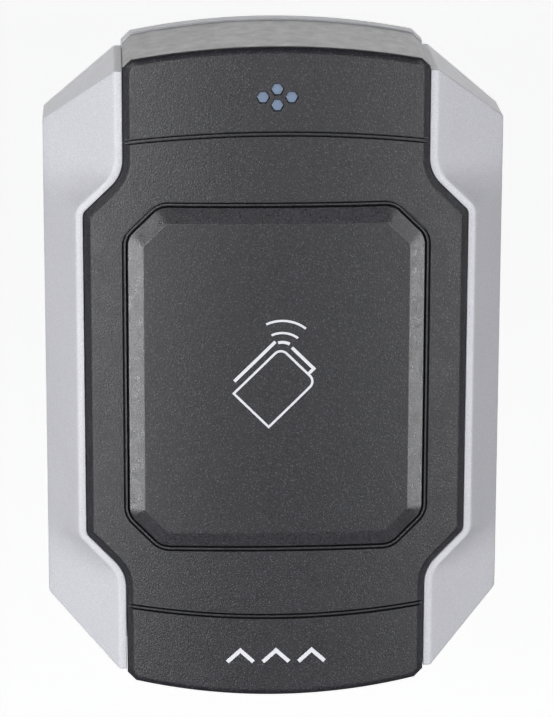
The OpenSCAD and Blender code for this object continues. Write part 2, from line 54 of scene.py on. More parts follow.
# Outline of the dark cover
COVER_HALF_H = 74.7
END_HALF = 33.3
MIDDLE_HALF = 42.05
SHOULDER_HEIGHT = 78.7
SHOULDER_R = 8.5
MIDDLE_CORNER_R = 2.0
ARCH_R = 160.0
END_CORNER = 103.0
END_DRAFT = 0.6
END_ROUND = 1.7
FACE_DEPTH = 34.5
CROWN_R = 260.0
SEAM_DEPTH = 5.0
WALL_T = 2.2
CEILING = FACE_DEPTH - 2.5
LENS_SEAT = 29.5

# Bevel down each side of the face: distance from the edge and height above the face
SIDE_BEVEL = (
    (0.0, -1.5), (0.04, -1.4), (0.12, -1.3), (1.3, -0.22), (1.42, -0.125),
    (1.55, -0.055), (1.68, -0.015), (1.82, 0.0),
)
END_STEPS = (0.0, 0.02, 0.08, 0.2, 0.38, 0.62, 0.92, 1.28, END_ROUND)

# Silver wings and the ring behind the cover
WING_GAP = 0.15
LIP_W = 1.65
LIP_DROP = 1.2
WING_EDGE_X = 51.0
WING_EDGE_DEPTH = 15.5
WING_TOP_Z = 68.4
WING_CORNER_Z = 54.9
WING_BACK = 0.3
WING_T = 1.5
WING_FRONT_T = 2.2
WING_EDGE_R = 0.35
LIP_BLEND = 0.4
RIM_PROUD = 0.3
# Section of the ring: growth beyond the cover's outline and depth
RING_PROFILE = (
    (RIM_PROUD - 0.3, 0.3), (RIM_PROUD - 0.08, 0.38), (RIM_PROUD, 0.6), (RIM_PROUD, 4.6),
    (RIM_PROUD - 0.08, 4.82), (RIM_PROUD - 0.3, 4.9), (-2.35, 4.9), (-2.35, 8.2), (-9.0, 8.2),
    (-9.0, 6.6), (-4.0, 6.6), (-4.0, 0.5), (-3.8, 0.3), (RIM_PROUD - 0.3, 0.3),
)

# Reading pad
PAD_HALF_W = 33.15
PAD_HALF_H = 39.25
PAD_CORNER = 7.4
PAD_CORNER_R = 5.0
PAD_Z = 0.1
PAD_EDGE = 0.65
PAD_FLOOR = -1.3
PAD_UNDERSIDE = -1.0
# Border of the pad: distance from its edge and height above the face
PAD_BORDER = ((0.0, -0.15), (0.03, -0.05), (0.12, 0.05), (3.28, 1.45), (3.4, 1.485), (3.52, 1.5))

# Grooves in the face, with a rib along the middle
ARCHED_GROOVE_Z = 55.1
ARCHED_GROOVE_R = 250.0
GROOVE_HALF_W = 0.65
RIB_HALF_W = 0.17
GROOVE_FLOOR = -1.1
RIB_TOP = -0.15
# Half of a groove's section: distance from its middle line and height above the face
GROOVE = (
    (0, RIB_TOP), (RIB_HALF_W, RIB_TOP), (RIB_HALF_W + 0.05, GROOVE_FLOOR),
    (GROOVE_HALF_W - 0.07, GROOVE_FLOOR), (GROOVE_HALF_W, 0),
)

# Lamp cluster
LENS_PLACES = ((-3.1, 63.1), (3.1, 63.1), (0.0, 64.85), (0.0, 61.35))
LENS_MIDDLE = (0.0, 63.1)
LENS_TOP = FACE_DEPTH - 0.35
POCKET_FLOOR = -1.6
LENS_R = 1.35
LENS_NECK = 29.0
LENS_STEM = (16.0, 28.4)
LENS_PLATE = (28.1, 29.4)
POCKET_R = 1.5

# Screw places
CORNER_SCREW = (26.5, 64.5)
BOARD_SCREW = (22.5, 56.0)
ANTENNA_SCREW = (21.0, 28.0)
# Bosses inside the cover: screw place, outer radius, hole radius and depth where they start
BOSSES = ((CORNER_SCREW, 3.4, 2.1, 8.3), (BOARD_SCREW, 2.8, 1.1, 14.7), (ANTENNA_SCREW, 2.4, 0.85, 26.1))
LOCK_DEPTH = 10.5
LOCK_HEAD_R = 3.1
LOCK_SHANK_R = 1.7
LOCK_STEP = 2.1
# Notch in the flange for the plate's lock tab: middle, width, height
LOCK_NOTCH = ((0, -64.5), 14, 9)

# Camera: place and aim in millimetres, roll in degrees
CAMERA_AT = (-35.3, -814.6, 219.8)
CAMERA_AIM = (0.78, -15.9, -0.33)
CAMERA_ROLL = 0.15
CAMERA_LENS = 185.2

# Soft lights aimed at the origin: place, width and height in metres, and watts
LIGHTS = {
    "front_box": ((-0.40, -1.7, 0.22), 0.9, 0.9, 4),
    "left_box": ((-0.70, -1.31, -0.2), 0.5, 0.7, 13.5),
    "right_box": ((0.70, -1.31, -0.2), 0.5, 0.7, 8.5),
    "left_strip": ((-1.04, -0.58, 0.18), 0.14, 1.5, 10),
    "right_strip": ((1.08, -0.50, 0.18), 0.14, 1.5, 8),
}
# Bright backdrop: direction of its middle, then the closeness to it that is mapped to a brightness
BACKDROP_DIRECTION = (0.0, 0.97, 0.25)
BACKDROP_RANGE = (0.8, 0.97, 0.1, 2.3)
FLOOR_HALF = 8.0
FLOOR_Z = -0.9


# ---------- Flat outlines ----------

def arc(centre, radius, start, end, steps):
    """Points on a circle between two angles in degrees."""
    angles = np.radians(np.linspace(start, end, steps + 1))
    return np.column_stack((centre[0] + radius * np.cos(angles), centre[1] + radius * np.sin(angles)))


def shoulder(grow):
    """The curved side of the cover above its centre, grown outwards."""
    radius = max(MIDDLE_CORNER_R + grow, 0.3)
    x = MIDDLE_HALF + grow
    z = SHOULDER_HEIGHT + grow * ROOT2 - x
    hollow = (END_HALF + SHOULDER_R, SHOULDER_HEIGHT - END_HALF + SHOULDER_R * TAN_22)
    return np.vstack((
        arc((x - radius, z - radius * TAN_22), radius, 0, 45, 8),
        arc(hollow, SHOULDER_R - grow, 225, 180, 12),
    ))


def quarter(grow, draft):
    """A quarter of the cover's outline, with its end drawn in by a draft."""
    radius = ARCH_R + grow
    centre_z = COVER_HALF_H - draft - ARCH_R
    side_x = END_HALF + grow
    corner = END_CORNER - draft + grow * ROOT2
    k = corner - centre_z
    cut_x = (k - math.sqrt(2 * radius * radius - k * k)) / 2
    start_x = min(cut_x, side_x)
    end_z = centre_z + math.sqrt(radius ** 2 - start_x ** 2)
    cut_z = min(corner - side_x, end_z - 0.3)
    start = math.degrees(math.acos(start_x / radius))
    return np.vstack((
        shoulder(grow),
        [[side_x, cut_z]],
        arc((0, centre_z), radius, start, 90, 24),
    ))


def whole(part):
    """A closed outline from its upper right quarter."""
    half = np.vstack((part, (part[:-1] * (-1, 1))[::-1]))
    return np.vstack((half, -half))


def outline(grow, draft=0.0):
    return whole(quarter(grow, draft))


def end_line(draft):
    """The top end of the cover's outline, from its right side to its left."""
    part = quarter(0, draft)[len(shoulder(0)):]
    return np.vstack((part, (part[:-1] * (-1, 1))[::-1]))


def pad_outline(grow):
    """Rectangle with its corners cut off and blended, in short parts that can follow the crown."""
    t = PAD_CORNER_R * TAN_22
    right = (PAD_HALF_W - PAD_CORNER_R, PAD_HALF_H - PAD_CORNER - t)
    top = (PAD_HALF_W - PAD_CORNER - t, PAD_HALF_H - PAD_CORNER_R)
    part = np.vstack((
        arc(right, PAD_CORNER_R + grow, 0, 45, 8),
        arc(top, PAD_CORNER_R + grow, 45, 90, 8),
    ))
    half = np.vstack((part, (part * (-1, 1))[::-1]))
    return refined(np.vstack((half, -half)) + (0, PAD_Z), 2.0)


def side_line(grow, end_z):
    """The right-hand side of the cover, upwards from -end_z to end_z."""
    upper = shoulder(grow)
    lower = (upper * (1, -1))[::-1]
    x = END_HALF + grow
    return np.vstack(([[x, -end_z]], lower, upper, [[x, end_z]]))


def rounded(corners, radii, steps=6):
    """A row of corner points with its inner corners replaced by arcs."""
    points = [corners[0]]
    for i in range(1, len(corners) - 1):
        at = np.array(corners[i], float)
        back = np.array(corners[i - 1], float) - at
        ahead = np.array(corners[i + 1], float) - at
        back /= np.linalg.norm(back)
        ahead /= np.linalg.norm(ahead)
        half_turn = math.acos(np.clip(back @ ahead, -1, 1)) / 2
        radius = radii[i - 1]
        inward = (back + ahead) / np.linalg.norm(back + ahead)
        centre = at + inward * radius / math.sin(half_turn)
        first = at + back * radius / math.tan(half_turn) - centre
        last = at + ahead * radius / math.tan(half_turn) - centre
        a = math.atan2(first[1], first[0])
        b = math.atan2(last[1], last[0])
        turn = (b - a + math.pi) % (2 * math.pi) - math.pi
        for s in np.linspace(0, turn, steps + 1):
            points.append(centre + radius * np.array((math.cos(a + s), math.sin(a + s))))
    points.append(corners[-1])
    return np.array(points, float)


def refined(loop, longest):
    """The same closed loop with no side longer than a given length."""
    points = []
    for a, b in zip(loop, np.roll(loop, -1, axis=0)):
        parts = max(1, math.ceil(np.linalg.norm(b - a) / longest))
        points.extend(a + (b - a) * i / parts for i in range(parts))
    return np.array(points)


def inset(loop, distance):
    """The closed counter-clockwise loop moved inwards, with mitred corners."""
    ahead = np.roll(loop, -1, axis=0) - loop
    ahead /= np.linalg.norm(ahead, axis=1)[:, None]
    back = np.roll(ahead, 1, axis=0)
    normal = np.column_stack((-ahead[:, 1], ahead[:, 0]))
    normal_back = np.column_stack((-back[:, 1], back[:, 0]))
    middle = normal + normal_back
    middle /= (middle * normal).sum(axis=1)[:, None]
    return loop + middle * distance


def closed(loop):
    return np.vstack((loop, loop[:1]))


def distance_to(points, line):
    """Shortest distance from each point to a line of straight parts."""
    a = line[:-1]
    side = line[1:] - a
    length2 = (side ** 2).sum(axis=1)
    offset = points[:, None, :] - a[None, :, :]
    along = np.clip((offset * side).sum(axis=2) / length2, 0, 1)
    gap = offset - along[:, :, None] * side
    return np.sqrt((gap ** 2).sum(axis=2)).min(axis=1)


def inside(points, loop):
    """Which points lie inside a closed loop."""
    result = np.zeros(len(points), bool)
    for a, b in zip(loop, np.roll(loop, -1, axis=0)):
        crosses = (a[1] > points[:, 1]) != (b[1] > points[:, 1])
        if crosses.any():
            x = a[0] + (points[:, 1] - a[1]) * (b[0] - a[0]) / (b[1] - a[1])
            result ^= crosses & (points[:, 0] < x)
    return result


def crown(x):
    """How far the crowned face has fallen back at a distance x from its middle."""
    return CROWN_R - np.sqrt(CROWN_R ** 2 - np.square(x))


def spread(loop, spacing=2.5):
    """Evenly spread points inside a closed loop."""
    (low_x, low_z), (high_x, high_z) = loop.min(axis=0), loop.max(axis=0)
    x, z = np.meshgrid(np.arange(low_x, high_x, spacing), np.arange(low_z, high_z, 2 * spacing))
    points = np.column_stack((x.ravel(), z.ravel()))
    return points[inside(points, loop)]


def fill(boundary, lines=(), points=()):
    """Triangles inside the boundary that follow every line and use every point."""
    places = [Vector(p) for p in boundary]
    edges = []
    for line in lines:
        first = len(places)
        places.extend(Vector(p) for p in line)
        edges.extend((i, i + 1) for i in range(first, len(places) - 1))
    places.extend(Vector(p) for p in points)
    found = geometry.delaunay_2d_cdt(places, edges, [list(range(len(boundary)))], 1, 1e-4)
    return np.array([tuple(p) for p in found[0]]), found[2]


# ---------- Building meshes ----------

class Piece:
    """Collects surfaces and welds them into one mesh object in the scene."""

    def __init__(self, name):
        self.name = name
        self.places = []
        self.faces = []

    def add(self, places, faces):
        first = len(self.places)
        self.places.extend(tuple(p) for p in places)
        self.faces.extend([first + i for i in face] for face in faces)

    def sheet(self, filled, depth):
        """A filled outline at one depth, or at a depth for each of its points."""
        flat, triangles = filled
        depths = np.broadcast_to(depth, len(flat))
        self.add([(x, -d, z) for (x, z), d in zip(flat, depths)], triangles)

    def wall(self, stack):
        """A surface through closed loops of equal length, each with its depth."""
        for (near, near_depth), (far, far_depth) in zip(stack, stack[1:]):
            n = len(near)
            near_depths = np.broadcast_to(near_depth, n)
            far_depths = np.broadcast_to(far_depth, n)
            places = [(x, -d, z) for (x, z), d in zip(near, near_depths)]
            places += [(x, -d, z) for (x, z), d in zip(far, far_depths)]
            self.add(places, [(i, (i + 1) % n, n + (i + 1) % n, n + i) for i in range(n)])

    def prism(self, loop, start, end):
        """A closed solid between two depths."""
        self.sheet(fill(loop), start)
        self.wall([(loop, start), (loop, end)])
        self.sheet(fill(loop), end)

    def tube(self, at, outer, inner, start, end):
        """A round boss with a hole through it."""
        rings = [arc(at, r, 0, 360, 32)[:-1] for r in (inner, outer)]
        stack = [(rings[0], start), (rings[1], start), (rings[1], end), (rings[0], end), (rings[0], start)]
        self.wall(stack)

    def mirrored(self, name):
        other = Piece(name)
        other.add([(-x, y, z) for x, y, z in self.places], self.faces)
        return other

    def make(self):
        """Welds the surfaces into a mesh object with its shading."""
        data = bpy.data.meshes.new(self.name)
        data.from_pydata([Vector(p) * MM for p in self.places], [], self.faces)
        net = bmesh.new()
        net.from_mesh(data)
        bmesh.ops.remove_doubles(net, verts=net.verts, dist=0.002 * MM)
        bmesh.ops.dissolve_degenerate(net, edges=net.edges, dist=0.001 * MM)
        bmesh.ops.recalc_face_normals(net, faces=net.faces)
        net.to_mesh(data)
        net.free()
        piece = bpy.data.objects.new(self.name, data)
        bpy.context.scene.collection.objects.link(piece)
        smooth(piece)
        return piece


def smooth(piece):
    """Smooth shading, broken at edges sharper than the crease angle."""
    net = bmesh.new()
    net.from_mesh(piece.data)
    for face in net.faces:
        face.smooth = True
    for edge in net.edges:
        sharp = len(edge.link_faces) != 2 or edge.calc_face_angle(0) > math.radians(CREASE)
        edge.smooth = not sharp
    net.to_mesh(piece.data)
    net.free()
    piece.modifiers.new("even_normals", "WEIGHTED_NORMAL").keep_sharp = True


def cut(piece, tool):
    """Cuts one mesh out of another and throws the tool away."""
    modifier = piece.modifiers.new("cut", "BOOLEAN")
    modifier.object = tool
    modifier.solver = "EXACT"
    piece.modifiers.move(len(piece.modifiers) - 1, 0)
    even = piece.modifiers.get("even_normals")
    if even:
        piece.modifiers.remove(even)
    evaluated = piece.evaluated_get(bpy.context.evaluated_depsgraph_get())
    data = bpy.data.meshes.new_from_object(evaluated)
    piece.modifiers.clear()
    piece.data = data
    bpy.data.objects.remove(tool)


def rectangle(centre, width, height):
    corners = np.array(((1, 1), (-1, 1), (-1, -1), (1, -1))) / 2
    return corners * (width, height) + centre


def edge_drop(distance, radius):
    """How far a rounded edge falls away at a distance from the edge."""
    into = np.clip(radius - distance, 0, radius)
    return radius - np.sqrt(radius ** 2 - into ** 2)


# ---------- Silver wings ----------

def wing_boundary():
    """Outline of the right-hand wing seen from the front, counter-clockwise."""
    inner_x = END_HALF + WING_GAP
    step_x = inner_x + LIP_W
    outer = rounded(
        [
            (inner_x, -WING_TOP_Z), (step_x, -WING_TOP_Z), (WING_EDGE_X, -WING_CORNER_Z),
            (WING_EDGE_X, WING_CORNER_Z), (step_x, WING_TOP_Z), (inner_x, WING_TOP_Z),
        ],
        (1.0, 1.5, 1.0, 1.0),
    )
    inner = side_line(WING_GAP, WING_TOP_Z)[::-1]
    return refined(np.vstack((outer, inner[1:-1])), 1.6)


def wing_depth(points):
    """Depth of the wing's front: a lip that follows the face, then straight lines to the outer edge."""
    lip = side_line(WING_GAP + LIP_W, WING_TOP_Z + 1)
    lip_x = np.interp(points[:, 1], lip[:, 1], lip[:, 0])
    lip_depth = FACE_DEPTH - LIP_DROP - crown(np.minimum(points[:, 0], lip_x))
    slope = (FACE_DEPTH - LIP_DROP - crown(lip_x) - WING_EDGE_DEPTH) / (WING_EDGE_X - lip_x)
    past = points[:, 0] - lip_x
    bend = (past + LIP_BLEND) ** 2 / (4 * LIP_BLEND)
    run = np.where(past < -LIP_BLEND, 0, np.where(past > LIP_BLEND, past, bend))
    return lip_depth - slope * run


def wing_rows(spacing, low, high, margin):
    """Points across the sloping front, in rows at equal heights."""
    lip = side_line(WING_GAP + LIP_W, WING_TOP_Z + 1)
    rows = []
    for z in np.arange(-WING_TOP_Z + spacing, WING_TOP_Z, spacing):
        start = np.interp(z, lip[:, 1], lip[:, 0]) + margin
        for share in np.linspace(low, high, 6):
            rows.append((start + (WING_EDGE_X - margin - start) * share, z))
    return np.array(rows)


def make_wing():
    """The right-hand wing, hollow from behind."""
    boundary = wing_boundary()
    lines = [closed(inset(boundary, d)) for d in (0.03, 0.12, WING_EDGE_R)]
    for shift in (-0.4, -0.15, 0.1, 0.4):
        lines.append(side_line(WING_GAP + LIP_W + shift, WING_TOP_Z - 0.2))
    rows = wing_rows(1.0, 0.1, 0.95, 0.4)
    rows = rows[inside(rows, inset(boundary, 0.7))]
    front = fill(boundary, lines, rows)
    depths = wing_depth(front[0]) - edge_drop(distance_to(front[0], closed(boundary)), WING_EDGE_R)

    hollow = inset(boundary, WING_T)
    hollow_rows = wing_rows(2.0, 0.1, 0.9, 1.0)
    hollow_rows = hollow_rows[inside(hollow_rows, hollow)]
    hollow_rows = hollow_rows[distance_to(hollow_rows, closed(hollow)) > 0.5]
    ceiling = fill(hollow, (), hollow_rows)
    edge = wing_depth(boundary) - WING_EDGE_R
    hollow_edge = wing_depth(hollow) - WING_FRONT_T

    wing = Piece("wing_right")
    wing.sheet(front, depths)
    wing.wall([
        (boundary, edge), (boundary, WING_BACK + 0.3),
        (inset(boundary, 0.3), WING_BACK), (hollow, WING_BACK), (hollow, hollow_edge),
    ])
    wing.sheet(ceiling, wing_depth(ceiling[0]) - WING_FRONT_T)
    return wing


def make_rear_ring():
    """Ring behind the cover, with the flange that carries the seal."""
    ring = Piece("rear_ring")
    ring.wall([(outline(grow), depth) for grow, depth in RING_PROFILE])
    piece = ring.make()
    notch = Piece("lock_notch_tool")
    notch.prism(rectangle(*LOCK_NOTCH), 6, 9)
    cut(piece, notch.make())
    smooth(piece)
    return piece


# ---------- Dark front cover ----------

def arched_lines(side):
    """The long edges of the upper or lower arched groove and of the rib along its middle."""
    centre = (0, side * (ARCHED_GROOVE_Z - ARCHED_GROOVE_R))
    half_angle = math.degrees(math.asin((END_HALF - 0.45) / ARCHED_GROOVE_R))
    lines = []
    for t, _ in GROOVE[1:]:
        for radius in (ARCHED_GROOVE_R - t, ARCHED_GROOVE_R + t):
            lines.append(arc(centre, radius, side * 90 - half_angle, side * 90 + half_angle, 60))
    return lines


def groove_height(off):
    """Height across a groove at a distance from its middle line. Beyond it there is no limit."""
    return np.interp(np.abs(off), *zip(*GROOVE), right=1)


def hexagon(centre, radius):
    return arc(centre, radius, 0, 360, 6)[:-1]


def edge_height(points):
    """Height of the face near its bevelled sides and rounded ends."""
    side = side_line(0, COVER_HALF_H)
    end = end_line(END_DRAFT)
    to_side = np.minimum(distance_to(points, side), distance_to(points, side * (-1, 1)))
    to_end = np.minimum(distance_to(points, end), distance_to(points, -end))
    return np.minimum(np.interp(to_side, *zip(*SIDE_BEVEL)), -edge_drop(to_end, END_ROUND))


def cover_front():
    """The face with its bevels, grooves, pad recess and lamp pockets, and its depth everywhere."""
    boundary = outline(0, END_DRAFT)
    steps = sorted({d for d, _ in SIDE_BEVEL[1:]} | set(END_STEPS[1:]))
    lines = [closed(outline(-d, END_DRAFT)) for d in steps]
    lines.extend(arched_lines(1) + arched_lines(-1))
    pad_steps = [t for t, _ in GROOVE[1:]] + [-t for t, _ in GROOVE[1:3]] + [0.05 - PAD_EDGE, -PAD_EDGE]
    lines.extend(closed(pad_outline(t)) for t in pad_steps)
    for place in LENS_PLACES:
        lines.extend(closed(hexagon(place, r)) for r in (POCKET_R, POCKET_R - 0.06))
    flat, triangles = fill(boundary, lines, spread(outline(-3)))

    height = edge_height(flat)
    for side in (1, -1):
        off = np.hypot(flat[:, 0], flat[:, 1] - side * (ARCHED_GROOVE_Z - ARCHED_GROOVE_R)) - ARCHED_GROOVE_R
        height = np.where(flat[:, 1] * side > 0, np.minimum(height, groove_height(off)), height)
    middle_line = pad_outline(0)
    off = distance_to(flat, closed(middle_line)) * np.where(inside(flat, middle_line), -1, 1)
    pad_height = np.where(off > 0.02 - PAD_EDGE, groove_height(off), PAD_FLOOR)
    height = np.minimum(height, pad_height)
    for place in LENS_PLACES:
        height[inside(flat, hexagon(place, POCKET_R - 0.03))] = POCKET_FLOOR
    return boundary, (flat, triangles), FACE_DEPTH + height - crown(flat[:, 0])


def make_cover():
    """The cover's shell with its bosses and the hole for the locking screw."""
    boundary, front, depth = cover_front()
    edge_depth = FACE_DEPTH + edge_height(boundary) - crown(boundary[:, 0])
    hollow = outline(-WALL_T)
    roof = fill(hollow, (), spread(hollow))
    cover = Piece("cover_shell")
    cover.sheet(front, depth)
    cover.wall([
        (boundary, edge_depth), (outline(0), SEAM_DEPTH + 0.25), (outline(-0.06), SEAM_DEPTH + 0.08),
        (outline(-0.22), SEAM_DEPTH), (hollow, SEAM_DEPTH), (hollow, CEILING - crown(hollow[:, 0])),
    ])
    cover.sheet(roof, CEILING - crown(roof[0][:, 0]))
    cover.prism(rectangle(LENS_MIDDLE, 14, 10), LENS_SEAT, CEILING)
    for place, outer, inner, start in BOSSES:
        for x in (-place[0], place[0]):
            for z in (-place[1], place[1]):
                cover.tube((x, z), outer, inner, start, CEILING - crown(x) - 0.1)
    piece = cover.make()
    cut(piece, lock_hole())
    smooth(piece)
    return piece


def lock_hole():
    """Stepped round hole in the bottom wall for the locking screw."""
    profile = (
        (LOCK_HEAD_R, -COVER_HALF_H - 1), (LOCK_HEAD_R, -COVER_HALF_H + LOCK_STEP),
        (LOCK_SHANK_R, -COVER_HALF_H + LOCK_STEP), (LOCK_SHANK_R, -COVER_HALF_H + 6),
    )
    steps = 48
    places = []
    for radius, z in profile:
        places.extend((x, -LOCK_DEPTH + y, z) for x, y in arc((0, 0), radius, 0, 360, steps)[:-1])
    faces = [
        (i * steps + j, i * steps + (j + 1) % steps, (i + 1) * steps + (j + 1) % steps, (i + 1) * steps + j)
        for i in range(len(profile) - 1) for j in range(steps)
    ]
    faces.append(tuple(range(steps))[::-1])
    faces.append(tuple(range((len(profile) - 1) * steps, len(profile) * steps)))
    tool = Piece("lock_hole_tool")
    tool.add(places, faces)
    return tool.make()


# ---------- Reading pad and lamps ----------

def make_pad():
    """The pad: its border slopes up to a plateau that follows the crown."""
    boundary = pad_outline(-PAD_EDGE)
    lines = [closed(pad_outline(-PAD_EDGE - d)) for d, _ in PAD_BORDER[1:]]
    front = fill(boundary, lines, spread(pad_outline(-PAD_EDGE - 4)))
    height = np.interp(distance_to(front[0], closed(boundary)), *zip(*PAD_BORDER))
    under = fill(boundary, (), spread(pad_outline(-2)))
    base = FACE_DEPTH - crown(boundary[:, 0])
    pad = Piece("pad_plate")
    pad.sheet(front, FACE_DEPTH + height - crown(front[0][:, 0]))
    pad.wall([(boundary, base + PAD_BORDER[0][1]), (boundary, base + PAD_UNDERSIDE)])
    pad.sheet(under, FACE_DEPTH + PAD_UNDERSIDE - crown(under[0][:, 0]))
    piece = pad.make()
    # the tilted border faces get a lighter copy of the plastic: painted sheen on the pad's slopes, over
    # their real smoother polish
    for face in piece.data.polygons:
        tilted = 0.6 < -face.normal.y < 0.97
        face.material_index = 1 if tilted else 0
    return piece


def make_lenses():
    """Four six-sided light guides on one small plate, with softly domed tops."""
    lenses = Piece("lamp_lenses")
    for place in LENS_PLACES:
        lenses.wall([(hexagon(place, radius), depth) for radius, depth in (
            (LENS_R, LENS_NECK), (LENS_R, LENS_TOP - 0.2), (LENS_R - 0.05, LENS_TOP - 0.1),
            (LENS_R - 0.2, LENS_TOP - 0.04), (0.6, LENS_TOP),
        )])
        lenses.sheet(fill(hexagon(place, 0.6)), LENS_TOP)
        lenses.prism(hexagon(place, LENS_R - 0.01), *LENS_STEM)
    lenses.prism(rectangle(LENS_MIDDLE, 12, 8), *LENS_PLATE)
    return lenses.make()


# ---------- Materials ----------

def shade(red, green, blue):
    """A colour given as it looks on screen, from 0 to 255."""
    values = [c / 255 for c in (red, green, blue)]
    return [c / 12.92 if c <= 0.04045 else ((c + 0.055) / 1.055) ** 2.4 for c in values] + [1.0]


class Surface:
    """A Principled material with shorthands for its node tree. Sizes are in millimetres."""

    def __init__(self, name, color, roughness, metallic=0.0, **sockets):
        self.material = bpy.data.materials.new(name)
        self.material.use_nodes = True
        self.tree = self.material.node_tree
        self.shader = self.tree.nodes["Principled BSDF"]
        self.color = color
        self.shader.inputs["Base Color"].default_value = color
        self.shader.inputs["Roughness"].default_value = roughness
        self.shader.inputs["Metallic"].default_value = metallic
        for socket, value in sockets.items():
            self.shader.inputs[socket.replace("_", " ")].default_value = value
        self.place = self.tree.nodes.new("ShaderNodeTexCoord").outputs["Object"]

    def feed(self, target, value):
        """Links another node's output to a socket, or sets a plain value on it."""
        if isinstance(value, bpy.types.NodeSocket):
            self.tree.links.new(value, target)
        else:
            target.default_value = value

    def node(self, kind, **inputs):
        node = self.tree.nodes.new("ShaderNode" + kind)
        for key, value in inputs.items():
            self.feed(node.inputs[key.replace("_", " ")], value)
        return node

    def noise(self, size, detail):
        return self.node("TexNoise", Vector=self.place, Scale=1 / (size * MM), Detail=detail).outputs["Fac"]

    def patches(self, size, detail, amount):
        """Soft patches of noise between 0 and an amount."""
        return self.span(self.noise(size, detail), 0.35, 0.7, 0.0, amount)

    def spots(self, size, spread):
        """Close to 1 at scattered points and 0 elsewhere."""
        cells = self.node("TexVoronoi", Vector=self.place, Scale=1 / (size * MM))
        return self.span(cells.outputs["Distance"], spread, 0.0, 0.0, 1.0)

    def span(self, value, low, high, to_low, to_high):
        node = self.node("MapRange", Value=value, From_Min=low, From_Max=high, To_Min=to_low, To_Max=to_high)
        return node.outputs["Result"]

    def times(self, a, b):
        node = self.node("Math")
        node.operation = "MULTIPLY"
        for socket, value in zip(node.inputs, (a, b)):
            self.feed(socket, value)
        return node.outputs["Value"]

    def tint(self, amount, other):
        """Mixes the colour so far towards another by an amount."""
        node = self.tree.nodes.new("ShaderNodeMix")
        node.data_type = "RGBA"
        self.tree.links.new(amount, node.inputs["Factor"])
        colors = [s for s in node.inputs if s.type == "RGBA"]
        self.feed(colors[0], self.color)
        colors[1].default_value = other
        self.color = [s for s in node.outputs if s.type == "RGBA"][0]
        self.tree.links.new(self.color, self.shader.inputs["Base Color"])

    def rough(self, size, low, high):
        """Roughness that wanders between two values over patches of a size."""
        value = self.span(self.noise(size, 3.0), 0.3, 0.7, low, high)
        self.tree.links.new(value, self.shader.inputs["Roughness"])

    def bump(self, height, distance, strength=1.0):
        """Adds relief of a given height in millimetres."""
        node = self.node("Bump", Height=height, Distance=distance * MM, Strength=strength)
        socket = self.shader.inputs["Normal"]
        if socket.is_linked:
            self.tree.links.new(socket.links[0].from_socket, node.inputs["Normal"])
        self.tree.links.new(node.outputs["Normal"], socket)


def grained_plastic(name, level, broad, fine, rough_size, fine_relief):
    """Spark-eroded dark grey plastic: fine grain with scattered light speckles."""
    s = Surface(name, shade(13, 13, 18), 0.4, Specular_IOR_Level=level)
    s.tint(s.patches(broad, 3.0, 0.5), shade(18, 18, 23))
    s.tint(s.patches(fine, 1.0, 1.0), shade(40, 40, 46))
    s.tint(s.times(s.spots(0.6, 0.3), 0.35), shade(124, 124, 132))
    s.rough(rough_size, 0.38, 0.45)
    s.bump(s.noise(fine_relief[0], 1.0), fine_relief[1], 0.9)
    return s.material


def pad_slope_painted_sheen():
    """The pad's border, where the same plastic is polished smoother, in a lighter colour that is painted
    sheen for the light its slopes catch.
    """
    # base, grain and speckle colours lighter than the face plastic: painted sheen; the lower roughness and
    # higher gloss are the real polish
    s = Surface("pad_slope_painted_sheen", shade(26, 26, 29), 0.3, Specular_IOR_Level=0.8)
    s.tint(s.patches(0.28, 1.0, 1.0), shade(60, 60, 65))
    s.tint(s.times(s.spots(0.5, 0.3), 0.4), shade(128, 128, 134))
    s.rough(1.5, 0.26, 0.36)
    s.bump(s.noise(0.3, 1.0), 0.04, 0.7)
    return s.material


def silver_paint():
    """Silver metallic paint over moulded plastic."""
    s = Surface("silver_paint", shade(188, 188, 194), 0.5, 0.1, Specular_IOR_Level=0.2)
    s.tint(s.patches(14.0, 3.0, 0.6), shade(183, 183, 189))
    s.tint(s.patches(0.26, 1.0, 0.7), shade(168, 168, 174))
    s.tint(s.times(s.spots(0.4, 0.3), 0.5), shade(238, 238, 242))
    s.rough(2.5, 0.46, 0.54)
    s.bump(s.noise(0.26, 1.0), 0.025, 0.7)
    return s.material


def lens_plastic():
    """Milky blue light guide."""
    s = Surface("lens_plastic", shade(98, 113, 135), 0.4, Specular_IOR_Level=0.3)
    s.tint(s.patches(1.2, 2.0, 0.6), shade(108, 123, 145))
    s.bump(s.noise(0.5, 2.0), 0.01, 0.4)
    return s.material


def printed_ink():
    """White printed ink, slightly worn."""
    s = Surface("printed_ink", shade(196, 196, 202), 0.5, Specular_IOR_Level=0.3)
    s.tint(s.span(s.noise(0.5, 3.0), 0.45, 0.75, 0.0, 0.5), shade(186, 186, 192))
    s.bump(s.noise(0.3, 2.0), 0.01, 0.5)
    return s.material


def plain(name, color, other, roughness, grain, metallic=0.0, relief=0.015):
    """Moulded or sheet material with colour, gloss and surface grain of its own scale."""
    s = Surface(name, color, roughness, metallic)
    s.tint(s.patches(grain * 12, 4.0, 1.0), other)
    s.rough(grain * 5, roughness - 0.06, roughness + 0.08)
    s.bump(s.noise(grain, 2.0), relief, 0.6)
    return s.material


def plated_sheet():
    """Galvanised steel: crystal spangle with fine brushing."""
    s = Surface("plated_sheet", shade(176, 179, 182), 0.38, 0.9)
    cells = s.node("TexVoronoi", Vector=s.place, Scale=1 / (5.0 * MM))
    s.tint(s.span(cells.outputs["Color"], 0.2, 0.8, 0.0, 0.7), shade(146, 150, 155))
    s.rough(2.0, 0.3, 0.5)
    s.bump(s.noise(0.4, 3.0), 0.02, 0.5)
    return s.material


